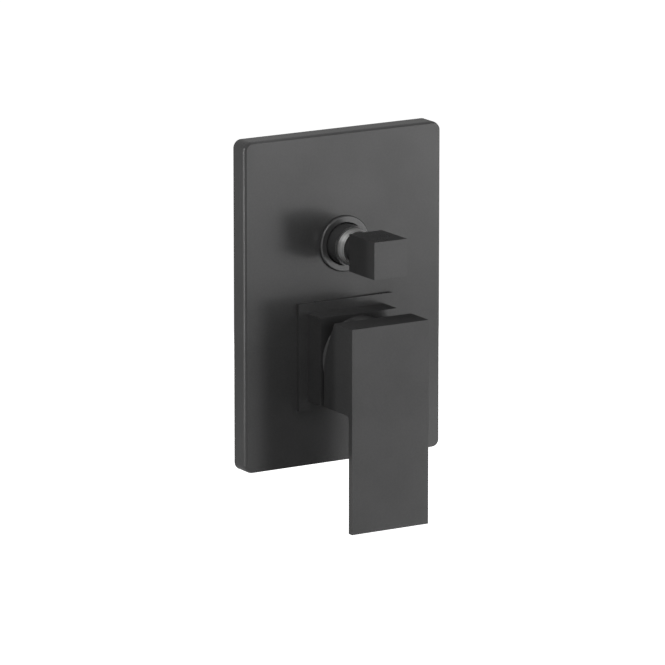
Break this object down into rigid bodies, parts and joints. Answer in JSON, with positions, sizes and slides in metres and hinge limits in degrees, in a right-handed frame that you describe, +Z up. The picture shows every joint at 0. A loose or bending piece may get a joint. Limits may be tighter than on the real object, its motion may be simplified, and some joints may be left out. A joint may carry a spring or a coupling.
{
  "type": "concealed shower valve",
  "caption": "Square wall plate with a long flat lever on a square shroud for flow and temperature and a square diverter knob above, on a brass body built into the wall.",
  "frame": {"origin": "midway between the two lug holes, on the rear face of the lugs", "axes": "+X to the right, +Y into the wall, +Z up; the lever and the knob face -Y"},
  "size_m": [0.12, 0.1098, 0.2051],
  "materials": {
    "graphite_coat": "satin",
    "polished_nickel": "polished",
    "cast_brass": "cast",
    "turned_brass": "turned",
    "steel": "machined",
    "white_plastic": "moulded",
    "grey_plastic": "moulded",
    "ceramic": "lapped",
    "rubber": "matt",
    "foam": "closed-cell foam"
  },
  "bodies": {
    "wall_unit": {"valve_body": "cast_brass", "wall_plate": "graphite_coat", "plate_gasket": "foam", "plate_o_ring": "rubber", "shroud": "graphite_coat", "dome_cap": "graphite_coat", "cartridge_nut": "turned_brass", "cartridge_housing": "white_plastic", "cartridge_base": "grey_plastic", "base_seals": "rubber", "fixed_disc": "ceramic", "diverter_collar": "graphite_coat", "collar_o_ring": "rubber", "diverter_sleeve": "graphite_coat", "guide_bush": "polished_nickel", "headpart": "turned_brass", "headpart_o_ring": "rubber", "diverter_seal": "rubber", "diverter_fixed_disc": "ceramic"},
    "rotor": {"rotor": "white_plastic", "rotor_o_ring": "rubber", "pivot_pin": "steel"},
    "lever": {"lever": "graphite_coat", "stem": "steel", "lever_grub_screw": "steel", "screw_plug": "graphite_coat"},
    "disc_carriage": {"carrier": "grey_plastic", "moving_disc": "ceramic"},
    "diverter": {"diverter_knob": "graphite_coat", "diverter_spindle": "turned_brass", "knob_grub_screw": "steel", "diverter_moving_disc": "ceramic", "spindle_o_ring": "rubber", "spindle_clip": "steel"}
  },
  "joints": [
    {"name": "temperature", "type": "hinge", "parent": "wall_unit", "child": "rotor", "pos_m": [0, -0.066, -0.0291], "axis": [0, -1, 0], "range_deg": [-45, 45]},
    {"name": "flow", "type": "hinge", "parent": "rotor", "child": "lever", "pos_m": [0, -0.066, -0.0291], "axis": [-1, 0, 0], "range_deg": [0, 20]},
    {"name": "disc_slide", "type": "slide", "parent": "rotor", "child": "disc_carriage", "axis": [0, 0, -1], "range_m": [0, 0.00395]},
    {"name": "divert", "type": "hinge", "parent": "wall_unit", "child": "diverter", "pos_m": [0, -0.097, 0.0294], "axis": [0, -1, 0], "range_deg": [-90, 90]}
  ],
  "couplings": [
    {"joint": "disc_slide", "follows": "flow", "m_per_rad": 0.01127}
  ]
}
